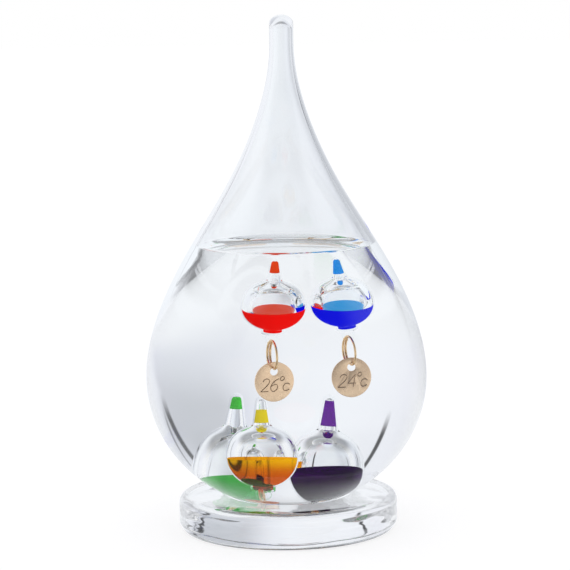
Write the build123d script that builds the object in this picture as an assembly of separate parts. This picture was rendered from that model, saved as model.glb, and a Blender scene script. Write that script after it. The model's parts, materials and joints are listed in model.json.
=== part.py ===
"""Galileo thermometer: a sealed, drop-shaped glass vessel on a round glass base.

The vessel holds a clear liquid in which five weighted glass floats rise and sink.
Each float is a blown bulb with a coloured fill, a plugged neck and a glass eye
underneath, from which a jump ring and an engraved metal tag hang.

Lengths are in millimetres, +Z is up, and the origin is the middle of the base's
underside. The front of the thermometer faces -Y.
"""

from build123d import *
from dataclasses import dataclass
from math import asin, cos, degrees, hypot, radians, sin, sqrt
import os

# ---------------------------------------------------------------- base disc
base_radius = 46.9
base_height = 15.8
base_top_round = 3.4
base_foot_round = 5.0

# ------------------------------------------------------------- drop vessel
total_height = 220.0
belly_radius = 60.0
belly_depth = 56.2           # from the widest ring down to the vessel's underside
seat_depth = 5.6             # how deep the vessel sits in the dish of the base
vessel_wall = 2.4            # glass thickness at the belly
tip_radius = 5.1             # outside of the drawn tip
tip_wall = 1.3
tip_length = 7.0             # straight part of the tip below its dome
tip_dome = 3.6               # height of the rounded end
tip_closure = 2.6            # glass thickness where the tip is melted shut
# The flank, as shares of the way from the tip's radius out to the belly's, and of
# the height from the widest ring up to the straight part of the tip.
flank = [(0.862, 0.227), (0.614, 0.407), (0.3315, 0.586), (0.12, 0.764), (0.018, 0.911)]

glue_thickness = 0.5         # clear film between the vessel and the dish in the base
glue_radius = 21.0
glue_gap = 0.1

# ------------------------------------------------------------ clear liquid
liquid_share = 0.354         # flat surface, as a share of the way from belly to tip
meniscus = 3.4               # size of the rim where the liquid climbs the glass
liquid_gap = 0.2             # between the liquid body and the vessel's inside
float_gap = 0.2              # between the liquid body and each float

# ------------------------------------------------------------- glass floats
bulb_radius = 10.6           # of a middling float; each has a girth of its own
bulb_depth = 9.5             # from the widest ring of the bulb down to the ellipse's end
foot_radius = 3.8            # short round foot under the bulb
foot_height = 1.2            # how far the foot stands out of the bulb
bulb_wall = 0.7
neck_radius = 2.7            # where the neck leaves the bulb
neck_tip = 1.8               # where it ends
neck_wall = 0.5
neck_closure = 0.9           # melted end of the neck
# The bulb's shoulder, as shares of the way from the neck's radius out to the
# widest ring's, and of the height from there up to the neck.
shoulder = [(0.80, 0.56), (0.54, 0.77), (0.17, 0.905)]
inner_gap = 0.08             # between the glass and the fill or the plug
surface_gap = 4.6            # between a floating neck and the liquid's surface

eye_radius = 2.0             # centre line of the glass eye
eye_wire = 0.5               # radius of its glass rod
eye_sink = 0.36              # how deep the eye's centre line is melted into the foot
link_gap = 0.12              # play between eye and ring, and between ring and tag

# ---------------------------------------------------------- rings and tags
ring_wire = 0.4              # wire radius
ring_radius = 5.2            # centre line of the jump ring
ring_pitch = 0.95            # spacing of the overlapping turns
ring_start = 210.0           # angles of the wire's two ends, from the top of the ring
ring_end = 680.0

tag_radius = 6.85
tag_thickness = 0.6
tag_hole = 1.4
tag_rim = 2.0                # metal between the hole and the tag's edge
floor_gap = 1.0              # between a leaning tag and the vessel's floor


@dataclass
class Float:
    """One float: where its eye is, how it hangs and how it was made up.

    Its lengths are given in bulb radii, and become millimetres here.
    """

    name: str
    x: float
    y: float
    yaw: float               # heading of the jump ring's plane, degrees
    tilt: float              # how far the bulb leans to +X, degrees
    lean: float              # how far ring and tag lean from hanging, degrees
    twist: float             # how far the tag is turned on its ring, degrees
    girth: float             # radius of this bulb
    crown: float             # from its widest ring up to the neck
    neck: float              # length of the neck
    fill: float              # liquid level above the bulb's widest ring
    plug: float              # length of the coloured plug in the neck
    stub: float              # empty glass above the plug

    def __post_init__(self):
        for length in ("x", "y", "girth", "crown", "neck", "fill", "plug", "stub"):
            setattr(self, length, bulb_radius * getattr(self, length))


# The first two float near the surface, and the other three lie on the floor.
floats = [
    Float("red", -0.434, -1.972, 14, 2, 0, 4, 1.08, 1.06, 0.85, -0.08, 0.46, 0.01),
    Float("blue", 2.0, -1.651, 29, -5, 0, -17, 1.11, 1.06, 0.80, -0.06, 0.57, 0.01),
    Float("yellow", -0.717, -0.283, 170, 0, 56.7, 0, 1.03, 0.89, 0.73, -0.03, 0.35, 0.27),
    Float("green", -1.377, 1.622, 218.3, 3, 50.4, 0, 0.92, 1.0, 0.68, -0.17, 0.26, 0.02),
    Float("purple", 0.849, 0.896, 198, 5, 58.5, 0, 0.97, 0.96, 0.79, 0.0, 0.60, 0.06),
]

# ------------------------------------------------------------ derived sizes
belly_height = base_height - seat_depth + belly_depth           # widest ring above the table
liquid_level = belly_height + liquid_share * (total_height - belly_height)
bar_drop = 2 * eye_radius - eye_sink                # foot underside to the eye's lower bar
ring_drop = ring_radius - ring_wire - eye_wire - link_gap       # bar to the ring's centre
wire_drop = ring_drop + ring_radius                 # bar to the wire that carries the tag
hole_drop = wire_drop - ring_wire - link_gap + tag_hole
tag_drop = hole_drop - tag_hole - tag_rim + tag_radius
reach = tag_drop + tag_radius                       # bar to the tag's lowest edge


def solid_of_revolution(outline):
    """Turn a closed outline in the XZ plane about the Z axis."""
    return revolve(Plane.XZ * make_face(outline), Axis.Z)


def move_inward(points, start_inset, end_inset):
    """Shift a run of (radius, height) points inward, square to the run."""
    last = len(points) - 1
    moved = []
    for i, (r, z) in enumerate(points):
        inset = start_inset + (end_inset - start_inset) * i / last
        r0, z0 = points[max(i - 1, 0)]
        r1, z1 = points[min(i + 1, last)]
        dr, dz = (r1 - r0, z1 - z0) if 0 < i < last else (0.0, 1.0)
        size = hypot(dr, dz)
        moved.append((r - inset * dz / size, z + inset * dr / size))
    return moved


# ------------------------------------------------------------------- vessel
def drop_outline(belly_inset, tip_inset, closure):
    """Half outline of the drop, moved inward by the given wall thicknesses."""
    tube_top = total_height - tip_dome
    reach_out = belly_radius - tip_radius
    climb = tube_top - tip_length - belly_height
    run = [(belly_radius, belly_height)]
    run += [(tip_radius + r * reach_out, belly_height + z * climb) for r, z in flank]
    run += [(tip_radius, belly_height + climb)]
    run = move_inward(run, belly_inset, tip_inset)
    floor = belly_height - belly_depth + belly_inset
    top = total_height - closure
    tube = run[-1][0]
    bowl = EllipticalCenterArc(
        (0, belly_height), run[0][0], belly_height - floor, start_angle=270, arc_size=90
    )
    side = Spline(run, tangents=[(0, 1), (0, 1)])
    dome_base = tube_top - closure
    straight = Line(run[-1], (tube, dome_base))
    dome = Spline([(tube, dome_base), (0, top)], tangents=[(0, 1), (-1, 0)])
    return side, bowl + side + straight + dome + Line((0, top), (0, floor))


def flank_radius(side, height):
    """Radius of a flank curve at a height, found by halving the curve."""
    low, high = 0.0, 1.0
    for _ in range(40):
        middle = (low + high) / 2
        if (side @ middle).Y < height:
            low = middle
        else:
            high = middle
    return (side @ low).X


def floor_height(x, y):
    """Height of the vessel's inside floor at a place in plan."""
    share = hypot(x, y) / (belly_radius - vessel_wall)
    return belly_height - (belly_depth - vessel_wall) * sqrt(1 - share**2)


def make_vessel():
    """Blown glass drop with its tip melted shut."""
    outer = solid_of_revolution(drop_outline(0, 0, 0)[1])
    inner = solid_of_revolution(drop_outline(vessel_wall, tip_wall, tip_closure)[1])
    return outer - inner


def bowl_below(inset, height):
    """The lower part of the vessel's outer shape, grown by a thickness."""
    bowl = EllipticalCenterArc(
        (0, belly_height), belly_radius + inset, belly_depth + inset, start_angle=270, arc_size=90
    )
    floor = belly_height - belly_depth - inset
    rim = Line((belly_radius + inset, belly_height), (0, belly_height))
    shape = solid_of_revolution(bowl + rim + Line((0, belly_height), (0, floor)))
    return split(shape, Plane.XY.offset(height), keep=Keep.BOTTOM)


def make_base():
    """Solid glass disc with rounded edges and a dish that carries the vessel."""
    disc = Cylinder(base_radius, base_height, align=(Align.CENTER, Align.CENTER, Align.MIN))
    disc = fillet(disc.edges().sort_by(Axis.Z)[-1], base_top_round)
    disc = fillet(disc.edges().sort_by(Axis.Z)[0], base_foot_round)
    return disc - bowl_below(glue_thickness, base_height + glue_thickness)


def make_glue():
    """Clear film that bonds the vessel into the dish."""
    film = bowl_below(glue_thickness - glue_gap, base_height) - bowl_below(glue_gap, base_height)
    return film & Cylinder(glue_radius, 2 * base_height)


# ------------------------------------------------------------------- floats
def bulb_height(piece):
    """Height of a float from the underside of its foot to the end of its neck."""
    return foot_height + bulb_depth + piece.crown + piece.neck


def bar_height(piece):
    """Height of the eye's lower bar at rest: at the surface, or leaning on the floor."""
    if piece.lean == 0:
        return liquid_level - surface_gap - bulb_height(piece) - bar_drop
    out = reach * sin(radians(piece.lean))
    edge_x = piece.x - out * sin(radians(piece.yaw))
    edge_y = piece.y + out * cos(radians(piece.yaw))
    return floor_height(edge_x, edge_y) + floor_gap + reach * cos(radians(piece.lean))


def bulb_outline(piece, inset, neck_inset, closure):
    """Half outline of a bulb with its foot and neck, measured from its widest ring."""
    swell = piece.girth - neck_radius
    run = [(piece.girth, 0)]
    run += [(neck_radius + r * swell, z * piece.crown) for r, z in shoulder]
    run += [(neck_radius, piece.crown)]
    run = move_inward(run, inset, neck_inset)
    wide = run[0][0]
    deep = bulb_depth - inset
    foot = foot_radius - inset
    under = -bulb_depth - foot_height + inset
    foot_angle = asin(-sqrt(1 - (foot / wide) ** 2))
    foot_top = deep * sin(foot_angle)
    top = piece.crown + piece.neck - closure
    tip = neck_tip - neck_inset
    bowl = EllipticalCenterArc(
        (0, 0), wide, deep, start_angle=degrees(foot_angle), arc_size=-degrees(foot_angle)
    )
    side = Spline(run, tangents=[(0, 1), (0, 1)])
    tube = Line(run[-1], (tip, top - tip))
    dome = CenterArc((0, top - tip), tip, 0, 90)
    foot_side = Line((foot, under), (foot, foot_top))
    sole = Line((0, under), (foot, under))
    return sole + foot_side + bowl + side + tube + dome + Line((0, top), (0, under))


def cavity_shape(piece, gap):
    """The space inside a bulb, smaller all round by a gap."""
    return solid_of_revolution(
        bulb_outline(piece, bulb_wall + gap, neck_wall + gap, neck_closure + gap)
    )


def stand(piece):
    """Place of a float's eye bar at rest, turned to the ring's heading."""
    return Pos(piece.x, piece.y, bar_height(piece)) * Rot(0, 0, piece.yaw)


def bulb_place(piece):
    """Place of the bulb's widest ring, on the eye bar and tilted to +X."""
    lift = bar_drop + foot_height + bulb_depth
    return Pos(piece.x, piece.y, bar_height(piece)) * Rot(0, piece.tilt, 0) * Pos(0, 0, lift)


def eye_shape(radius):
    """Glass eye whose lower bar lies along the ring's swing axis."""
    return Pos(0, 0, eye_radius) * Rot(90, 0, 0) * Torus(eye_radius, radius)


def make_bulb(piece):
    """Hollow glass float with its foot, neck and eye."""
    glass = bulb_place(piece) * solid_of_revolution(bulb_outline(piece, 0, 0, 0))
    tilt = Pos(piece.x, piece.y, bar_height(piece)) * Rot(0, piece.tilt, 0) * Rot(0, 0, piece.yaw)
    glass = glass + tilt * eye_shape(eye_wire)
    return glass - bulb_place(piece) * cavity_shape(piece, 0)


def make_fill(piece):
    """Coloured liquid, level with the table even where the bulb tilts."""
    space = bulb_place(piece) * cavity_shape(piece, inner_gap)
    level = bulb_place(piece).position.Z + piece.fill
    return split(space, Plane.XY.offset(level), keep=Keep.BOTTOM)


def make_plug(piece):
    """Coloured plug in the neck."""
    top = piece.crown + piece.neck - neck_closure - inner_gap - piece.stub
    slab = Pos(0, 0, top - piece.plug) * Cylinder(
        piece.girth, piece.plug, align=(Align.CENTER, Align.CENTER, Align.MIN)
    )
    return bulb_place(piece) * (cavity_shape(piece, inner_gap) & slab)


def chain_place(piece):
    """Frame of ring and tag: the eye bar, turned and leaned."""
    return stand(piece) * Rot(piece.lean, 0, 0)


def strand_offset(angle):
    """How far along the bar the ring's wire lies at an angle from its top."""
    return ring_pitch * (angle - 360) / 360


def make_ring(piece):
    """Jump ring of a little more than one turn, with its ends overlapping."""
    turns = (ring_end - ring_start) / 360
    coil = Helix(ring_pitch, ring_pitch * turns, ring_radius)
    wire = sweep(Plane(coil @ 0, z_dir=coil % 0) * Circle(ring_wire), path=coil)
    first = Pos(strand_offset(ring_start), 0, -ring_drop) * Rot(ring_start, 0, 0)
    return chain_place(piece) * first * Rot(0, 90, 0) * Rot(0, 0, 180) * wire


def tag_place(piece):
    """Frame of a tag: the middle of the wire that carries it."""
    return chain_place(piece) * Pos(strand_offset(540), 0, -wire_drop) * Rot(0, 0, piece.twist)


def make_tag(piece):
    """Round metal tag with a hole near its edge."""
    disc = Pos(0, 0, wire_drop - tag_drop) * Rot(90, 0, 0) * Cylinder(tag_radius, tag_thickness)
    hole = Pos(0, 0, wire_drop - hole_drop) * Rot(90, 0, 0) * Cylinder(tag_hole, 4 * tag_thickness)
    return tag_place(piece) * (disc - hole)


# ------------------------------------------------------------------- liquid
def float_room(piece):
    """Everything that one float takes out of the liquid, with the gap round it."""
    gap = float_gap
    bulb = bulb_place(piece) * solid_of_revolution(bulb_outline(piece, -gap, -gap, -gap))
    eye = Pos(piece.x, piece.y, bar_height(piece)) * Rot(0, piece.tilt, 0) * Rot(0, 0, piece.yaw)
    eye = eye * eye_shape(eye_wire + gap)
    low = strand_offset(ring_start)
    width = strand_offset(ring_end) - low
    band = Cylinder(ring_radius + ring_wire + gap, width + 2 * (ring_wire + gap))
    band -= Cylinder(ring_radius - ring_wire - gap, width + 4 * ring_wire)
    ring = chain_place(piece) * Pos(low + width / 2, 0, -ring_drop) * Rot(0, 90, 0) * band
    disc = Rot(90, 0, 0) * Cylinder(tag_radius + gap, tag_thickness + 2 * gap)
    tag = tag_place(piece) * Pos(0, 0, wire_drop - tag_drop) * disc
    return bulb + eye + ring + tag


def make_liquid():
    """Clear liquid with its meniscus, and with room for the floats where they rest."""
    side, outline = drop_outline(
        vessel_wall + liquid_gap, tip_wall + liquid_gap, tip_closure + liquid_gap
    )
    wall = flank_radius(side, liquid_level)
    flat = wall - 2 * meniscus
    climb = EllipticalCenterArc(
        (flat, liquid_level + 2 * meniscus), 2.2 * meniscus, 2 * meniscus, start_angle=270, arc_size=90
    )
    outside = belly_radius + vessel_wall
    air = Line((0, liquid_level), (flat, liquid_level)) + climb
    air += Polyline(
        climb @ 1,
        (outside, liquid_level + 2 * meniscus),
        (outside, total_height),
        (0, total_height),
        (0, liquid_level),
    )
    liquid = solid_of_revolution(outline) - solid_of_revolution(air)
    for piece in floats:
        liquid -= float_room(piece)
    return liquid


# -------------------------------------------------------------------- write
parts = {
    "glass_base": make_base(),
    "glue_film": make_glue(),
    "drop_vessel": make_vessel(),
    "clear_liquid": make_liquid(),
}
for piece in floats:
    parts[f"{piece.name}_bulb"] = make_bulb(piece)
    parts[f"{piece.name}_fill"] = make_fill(piece)
    parts[f"{piece.name}_plug"] = make_plug(piece)
    parts[f"{piece.name}_ring"] = make_ring(piece)
    parts[f"{piece.name}_tag"] = make_tag(piece)

os.makedirs("parts", exist_ok=True)
for node, shape in parts.items():
    export_step(shape, f"parts/{node}.step")
    print(node, round(shape.volume, 2))
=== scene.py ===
# %% [markdown]
# # A drop-shaped Galileo thermometer
# A sealed glass drop on a solid glass disc holds a clear liquid and five weighted
# glass floats. Nearly everything here is glass or liquid, so the lesson is mostly
# about light: which surface bends it, and which surface only parts two things
# that bend it alike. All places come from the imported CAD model.

# %% Load the frame
import json
from math import asin, atan2, cos, degrees, hypot, pi, radians, sin, sqrt

import bmesh
import bpy
import numpy as np
from mathutils import Matrix, Vector


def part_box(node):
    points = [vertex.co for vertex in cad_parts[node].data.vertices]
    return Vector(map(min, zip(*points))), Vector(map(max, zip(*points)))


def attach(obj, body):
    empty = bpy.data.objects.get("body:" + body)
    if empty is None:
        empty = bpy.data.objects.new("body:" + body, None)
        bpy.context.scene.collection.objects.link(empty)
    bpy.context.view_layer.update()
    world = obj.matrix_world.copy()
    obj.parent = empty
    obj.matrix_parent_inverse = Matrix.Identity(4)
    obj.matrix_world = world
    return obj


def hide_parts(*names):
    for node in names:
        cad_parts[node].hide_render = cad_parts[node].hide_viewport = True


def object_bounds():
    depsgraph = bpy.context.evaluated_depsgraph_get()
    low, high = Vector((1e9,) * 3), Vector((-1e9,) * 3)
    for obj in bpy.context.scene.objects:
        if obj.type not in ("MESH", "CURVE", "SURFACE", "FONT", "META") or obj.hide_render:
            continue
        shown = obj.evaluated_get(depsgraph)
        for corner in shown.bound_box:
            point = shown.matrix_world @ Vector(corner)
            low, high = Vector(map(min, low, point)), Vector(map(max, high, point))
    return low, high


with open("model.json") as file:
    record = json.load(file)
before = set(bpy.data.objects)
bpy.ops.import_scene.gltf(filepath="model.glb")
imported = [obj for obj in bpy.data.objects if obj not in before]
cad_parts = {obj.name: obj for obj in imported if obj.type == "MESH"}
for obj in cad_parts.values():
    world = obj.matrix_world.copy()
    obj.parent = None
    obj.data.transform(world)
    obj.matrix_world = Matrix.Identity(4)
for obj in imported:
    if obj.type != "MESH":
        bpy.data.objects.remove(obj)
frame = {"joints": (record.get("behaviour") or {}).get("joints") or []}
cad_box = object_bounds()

MM = 0.001
joints = {joint["name"]: joint for joint in frame["joints"]}
print("CAD box in mm", [[round(v / MM, 1) for v in corner] for corner in cad_box])

# %% [markdown]
# ## Camera
# The object is seen from a little above, through a long lens, so its outline is
# close to its true shape. The camera is turned a touch about its own view line.
# A camera's `lens` is in millimetres for a 36 mm wide sensor.

# %% Camera
CAMERA_DISTANCE = 966 * MM
CAMERA_HEIGHT = 224 * MM
CAMERA_PITCH = radians(7.0)
CAMERA_ROLL = radians(-0.87)
CAMERA_LENS = 144.1
SENSOR_WIDTH = 36

camera_data = bpy.data.cameras.new("camera")
camera_data.lens = CAMERA_LENS
camera_data.sensor_width = SENSOR_WIDTH
camera = bpy.data.objects.new("camera", camera_data)
camera.matrix_world = (
    Matrix.Translation((0, -CAMERA_DISTANCE, CAMERA_HEIGHT))
    @ Matrix.Rotation(pi / 2 - CAMERA_PITCH, 4, "X")
    @ Matrix.Rotation(CAMERA_ROLL, 4, "Z")
)
bpy.context.scene.collection.objects.link(camera)
bpy.context.scene.camera = camera
print("the camera stands", round(CAMERA_DISTANCE, 3), "m in front, lens", CAMERA_LENS)

# %% [markdown]
# ## Outlines to spin
# Blown glass is round about its own axis, so each shell is one outline spun about
# Z. An outline is a list of (radius, height) points in millimetres. The flank of
# the drop and the shoulder of a bulb are smooth curves through a few points,
# which a cubic with known end directions gives: a Bezier curve object would do
# as well, but here the inside wall has to follow the outside at a set distance.

# %% Smooth outlines
def smooth_through(points, start, end, steps):
    """Points along a smooth curve through (radius, height) points."""
    p = np.array(points, float)
    gap = np.linalg.norm(np.diff(p, axis=0), axis=1)
    count = len(p)
    lhs, rhs = np.zeros((count, count)), np.zeros((count, 2))
    lhs[0, 0] = lhs[-1, -1] = 1
    rhs[0], rhs[-1] = start, end
    for i in range(1, count - 1):
        before, after = gap[i - 1], gap[i]
        lhs[i, i - 1 : i + 2] = after, 2 * (before + after), before
        rhs[i] = 3 * (after * (p[i] - p[i - 1]) / before + before * (p[i + 1] - p[i]) / after)
    slope = np.linalg.solve(lhs, rhs)
    curve = []
    for i in range(count - 1):
        for t in np.arange(steps) / steps:
            a = (2 * t - 3) * t * t * (p[i] - p[i + 1]) + p[i]
            b = gap[i] * t * (t - 1) * ((t - 1) * slope[i] + t * slope[i + 1])
            curve.append(tuple(a + b))
    return curve + [tuple(p[-1])]


def move_inward(points, start_inset, end_inset):
    """Shift a run of points inward, square to the run, for a wall's other side."""
    last = len(points) - 1
    moved = []
    for i, (r, z) in enumerate(points):
        inset = start_inset + (end_inset - start_inset) * i / last
        before, after = points[max(i - 1, 0)], points[min(i + 1, last)]
        dr, dz = (after[0] - before[0], after[1] - before[1]) if 0 < i < last else (0, 1)
        size = hypot(dr, dz)
        moved.append((r - inset * dz / size, z + inset * dr / size))
    return moved


def ellipse(centre_height, wide, high, start, end, steps):
    """Points on part of an ellipse about the axis, angles from the horizontal."""
    turn = [radians(start + (end - start) * i / steps) for i in range(steps + 1)]
    return [(wide * cos(a), centre_height + high * sin(a)) for a in turn]


# %% [markdown]
# ## Spinning a shell
# `bmesh.ops.spin` turns an outline about an axis. One shell is often made of
# stretches that need different materials, such as dry glass and wetted glass, so
# each stretch is spun by itself with its own material number, and the shell is
# then welded with `remove_doubles`. Normals are set before a second shell joins.

# %% Spin helpers
SPIN_STEPS = 144
WELD = 0.002 * MM
FINE_WELD = 0.001 * MM
HAIR = 0.0005 * MM


def spin_stretch(bm, outline, material, steps=SPIN_STEPS):
    """Spin one stretch of outline about Z and give its faces a material number."""
    verts = [bm.verts.new((r * MM, 0, z * MM)) for r, z in outline]
    edges = [bm.edges.new(pair) for pair in zip(verts, verts[1:])]
    old = set(bm.faces)
    bmesh.ops.spin(
        bm, geom=verts + edges, cent=(0, 0, 0), axis=(0, 0, 1), angle=2 * pi,
        steps=steps, use_merge=True,
    )
    for face in bm.faces:
        if face not in old:
            face.material_index = material


def close_shell(bm, void=False):
    """Weld a spun shell and face it outward, or into the void it encloses."""
    bmesh.ops.remove_doubles(bm, verts=bm.verts, dist=WELD)
    bmesh.ops.dissolve_degenerate(bm, edges=bm.edges, dist=HAIR)
    bmesh.ops.recalc_face_normals(bm, faces=bm.faces)
    if void:
        bmesh.ops.reverse_faces(bm, faces=bm.faces)


def add_mesh(bm, other):
    """Copy another bmesh into this one."""
    mesh = bpy.data.meshes.new("copy")
    other.to_mesh(mesh)
    bm.from_mesh(mesh)
    bpy.data.meshes.remove(mesh)
    other.free()


def finish_piece(bm, name, body, replaced, materials, crease=35):
    """Turn a bmesh into a named piece that rides on its body."""
    for face in bm.faces:
        face.smooth = True
    for edge in bm.edges:
        sharp = len(edge.link_faces) == 2 and edge.calc_face_angle(0) > radians(crease)
        edge.smooth = not sharp
    mesh = bpy.data.meshes.new(name)
    bm.to_mesh(mesh)
    bm.free()
    for material in materials:
        mesh.materials.append(material)
    piece = bpy.data.objects.new(name, mesh)
    bpy.context.scene.collection.objects.link(piece)
    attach(piece, body)
    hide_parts(*replaced)
    triangles = sum(len(p.vertices) - 2 for p in mesh.polygons)
    low, high = mesh_box(mesh)
    print(name, triangles, "triangles, from", low, "to", high)
    return piece


def mesh_box(mesh):
    """Lowest and highest corner of a mesh, in millimetres."""
    points = np.array([v.co for v in mesh.vertices]) / MM
    return points.min(0).round(2).tolist(), points.max(0).round(2).tolist()


# %% [markdown]
# ## Shared finishes
# Hand-blown glass is never quite even: its thickness drifts, which shows as faint
# waves in what is seen through it. A node group holds that drift once, and each
# material gives it its own size and strength. A second group fades one colour
# into another with height, for dyes that look darker where they are deeper.

# %% Node helpers
def feed(tree, value, socket):
    """Link another node's output to a socket, or give the socket a fixed value."""
    if isinstance(value, bpy.types.NodeSocket):
        tree.links.new(value, socket)
    else:
        socket.default_value = value


def wire_math(tree, operation, *values):
    """A Math node, with each input a number or another node's output."""
    node = tree.nodes.new("ShaderNodeMath")
    node.operation = operation
    for socket, value in zip(node.inputs, values):
        feed(tree, value, socket)
    return node.outputs["Value"]


def soft_step(tree, value, start, end):
    """From 0 to 1 as a value goes from start to end, where end may be the lower."""
    node = tree.nodes.new("ShaderNodeMapRange")
    node.interpolation_type = "SMOOTHSTEP"
    if isinstance(start, (int, float)) and start > end:
        start, end = end, start
        node.inputs["To Min"].default_value = 1.0
        node.inputs["To Max"].default_value = 0.0
    feed(tree, value, node.inputs["Value"])
    feed(tree, start, node.inputs["From Min"])
    feed(tree, end, node.inputs["From Max"])
    return node.outputs["Result"]


def mix_colours(tree, factor, first, second):
    """A colour on the way from the first to the second."""
    mix = tree.nodes.new("ShaderNodeMix")
    mix.data_type = "RGBA"
    feed(tree, factor, mix.inputs["Factor"])
    feed(tree, first, mix.inputs["A"])
    feed(tree, second, mix.inputs["B"])
    return mix.outputs["Result"]


def noise_value(tree, place, scale, detail):
    """A cloudy value between 0 and 1 at a place."""
    noise = tree.nodes.new("ShaderNodeTexNoise")
    feed(tree, place, noise.inputs["Vector"])
    feed(tree, scale, noise.inputs["Scale"])
    feed(tree, detail, noise.inputs["Detail"])
    return noise.outputs["Fac"]


def bump_normal(tree, strength, distance, height):
    """A normal that leans as if the surface rose and fell with a height."""
    bump = tree.nodes.new("ShaderNodeBump")
    feed(tree, strength, bump.inputs["Strength"])
    feed(tree, distance, bump.inputs["Distance"])
    feed(tree, height, bump.inputs["Height"])
    return bump.outputs["Normal"]


def new_group(name, inputs, outputs):
    """A shader node group with named sockets, and its two end nodes."""
    group = bpy.data.node_groups.new(name, "ShaderNodeTree")
    for label, kind, value in inputs:
        socket = group.interface.new_socket(label, in_out="INPUT", socket_type=kind)
        socket.default_value = value
    for label, kind in outputs:
        group.interface.new_socket(label, in_out="OUTPUT", socket_type=kind)
    start = group.nodes.new("NodeGroupInput")
    end = group.nodes.new("NodeGroupOutput")
    return group, start.outputs, end.inputs


# %% Node groups
def blown_drift():
    """Faint waves and a faint change of tint, as in blown glass."""
    group, given, result = new_group(
        "blown drift",
        [
            ("Scale", "NodeSocketFloat", 30.0),
            ("Wave", "NodeSocketFloat", 0.1),
            ("Stretch", "NodeSocketVector", (1, 1, 1)),
            ("Thin", "NodeSocketColor", (1, 1, 1, 1)),
            ("Thick", "NodeSocketColor", (0.95, 0.97, 0.98, 1)),
        ],
        [("Color", "NodeSocketColor"), ("Normal", "NodeSocketVector")],
    )
    pull = group.nodes.new("ShaderNodeVectorMath")
    pull.operation = "MULTIPLY"
    place = group.nodes.new("ShaderNodeTexCoord")
    feed(group, place.outputs["Object"], pull.inputs[0])
    feed(group, given["Stretch"], pull.inputs[1])
    drift = noise_value(group, pull.outputs["Vector"], given["Scale"], 1.0)
    feed(group, mix_colours(group, drift, given["Thin"], given["Thick"]), result["Color"])
    feed(group, bump_normal(group, given["Wave"], MM, drift), result["Normal"])
    return group


def depth_fade():
    """One colour low down, another higher up, with a cloudy edge between."""
    group, given, result = new_group(
        "depth fade",
        [
            ("Low", "NodeSocketFloat", 0.0),
            ("High", "NodeSocketFloat", 0.01),
            ("Deep", "NodeSocketColor", (0, 0, 0, 1)),
            ("Shallow", "NodeSocketColor", (1, 1, 1, 1)),
        ],
        [("Color", "NodeSocketColor")],
    )
    place = group.nodes.new("ShaderNodeTexCoord").outputs["Object"]
    split = group.nodes.new("ShaderNodeSeparateXYZ")
    feed(group, place, split.inputs["Vector"])
    cloud = noise_value(group, place, CLOUD_SCALE, 2.0)
    height = wire_math(group, "MULTIPLY_ADD", cloud, CLOUD_DEPTH, split.outputs["Z"])
    share = soft_step(group, height, given["Low"], given["High"])
    feed(group, mix_colours(group, share, given["Deep"], given["Shallow"]), result["Color"])
    return group


CLOUD_SCALE = 160.0
CLOUD_DEPTH = 1.6 * MM
BLOWN_DRIFT = blown_drift()
DEPTH_FADE = depth_fade()
print("shared groups:", BLOWN_DRIFT.name, "and", DEPTH_FADE.name)

# %% [markdown]
# ## Glass that bends light only where it should
# Light bends where it passes from air to glass, from glass to the air inside the
# cone, and from the liquid's surface to air. Between the vessel's wall and the
# liquid it hardly bends, because both have nearly the same refractive index. A
# renderer doesn't know that two touching meshes are one to the light, so the
# wetted faces get a material with an index of 1: they are there, and are closed,
# but light goes straight on. The same holds where the vessel is bonded to its
# base, and where a float's glass touches the dye in it.

# %% Clear materials
# Light that is mirrored back and forth near the rim of the liquid meets more surfaces than a
# renderer follows. It gets out in the end, about as bright as the studio, so the last
# surface it is followed to glows with that tone: painted light that stands in for it.
MOST_BOUNCES = 40
TRAPPED_LIGHT = (0.95, 0.97, 1.0, 1)


def new_material(name, settings):
    """A Principled material with plain values on some of its sockets."""
    material = bpy.data.materials.new(name)
    material.use_nodes = True
    tree = material.node_tree
    shader = tree.nodes["Principled BSDF"]
    for label, value in settings.items():
        shader.inputs[label].default_value = value
    return material, tree, shader


def place_group(tree, group, settings):
    """A shared node group placed in a material, with values of its own."""
    node = tree.nodes.new("ShaderNodeGroup")
    node.node_tree = group
    for label, value in settings.items():
        node.inputs[label].default_value = value
    return node


def clear_material(name, index, scale, wave, thick=(0.96, 0.98, 0.985, 1), stretch=(1, 1, 1)):
    """A polished see-through material with a given index of refraction."""
    material, tree, shader = new_material(
        name,
        {"Roughness": 0.0, "IOR": index, "Transmission Weight": 1.0, "Emission Strength": 1.0},
    )
    drift = place_group(
        tree, BLOWN_DRIFT, {"Scale": scale, "Wave": wave, "Stretch": stretch, "Thick": thick}
    )
    feed(tree, drift.outputs["Color"], shader.inputs["Base Color"])
    if wave:
        feed(tree, drift.outputs["Normal"], shader.inputs["Normal"])
    # Painted light: at the last bounce the surface glows with TRAPPED_LIGHT, a pale studio tone.
    path = tree.nodes.new("ShaderNodeLightPath")
    last = wire_math(tree, "GREATER_THAN", path.outputs["Ray Depth"], MOST_BOUNCES + 0.5)
    glow = mix_colours(tree, last, (0, 0, 0, 1), TRAPPED_LIGHT)
    feed(tree, glow, shader.inputs["Emission Color"])
    return material


WATER_CLEAR = (0.995, 0.998, 1, 1)
VESSEL_OUTSIDE = clear_material("vessel glass outside", 1.46, 18, 0.02)
VESSEL_INSIDE = clear_material("vessel glass inside", 1.46, 26, 0.02)
TOUCHING = clear_material("glass touching liquid", 1.0, 20, 0.0, WATER_CLEAR)
BONDED = clear_material("bonded glass", 1.0, 40, 0.0, WATER_CLEAR)
LIQUID_TOP = clear_material("liquid surface", 1.45, 30, 0.0, (0.98, 0.985, 1, 1))
BASE_GLASS = clear_material("base glass", 1.46, 40, 0.8, (0.93, 0.95, 0.965, 1), (1, 1, 4))
FLOAT_OUTSIDE = clear_material("float glass outside", 1.03, 60, 0.0)
FLOAT_INSIDE = clear_material("float glass inside", 1.47, 90, 0.03)
print("clear materials:", [material.name for material in bpy.data.materials])

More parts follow.
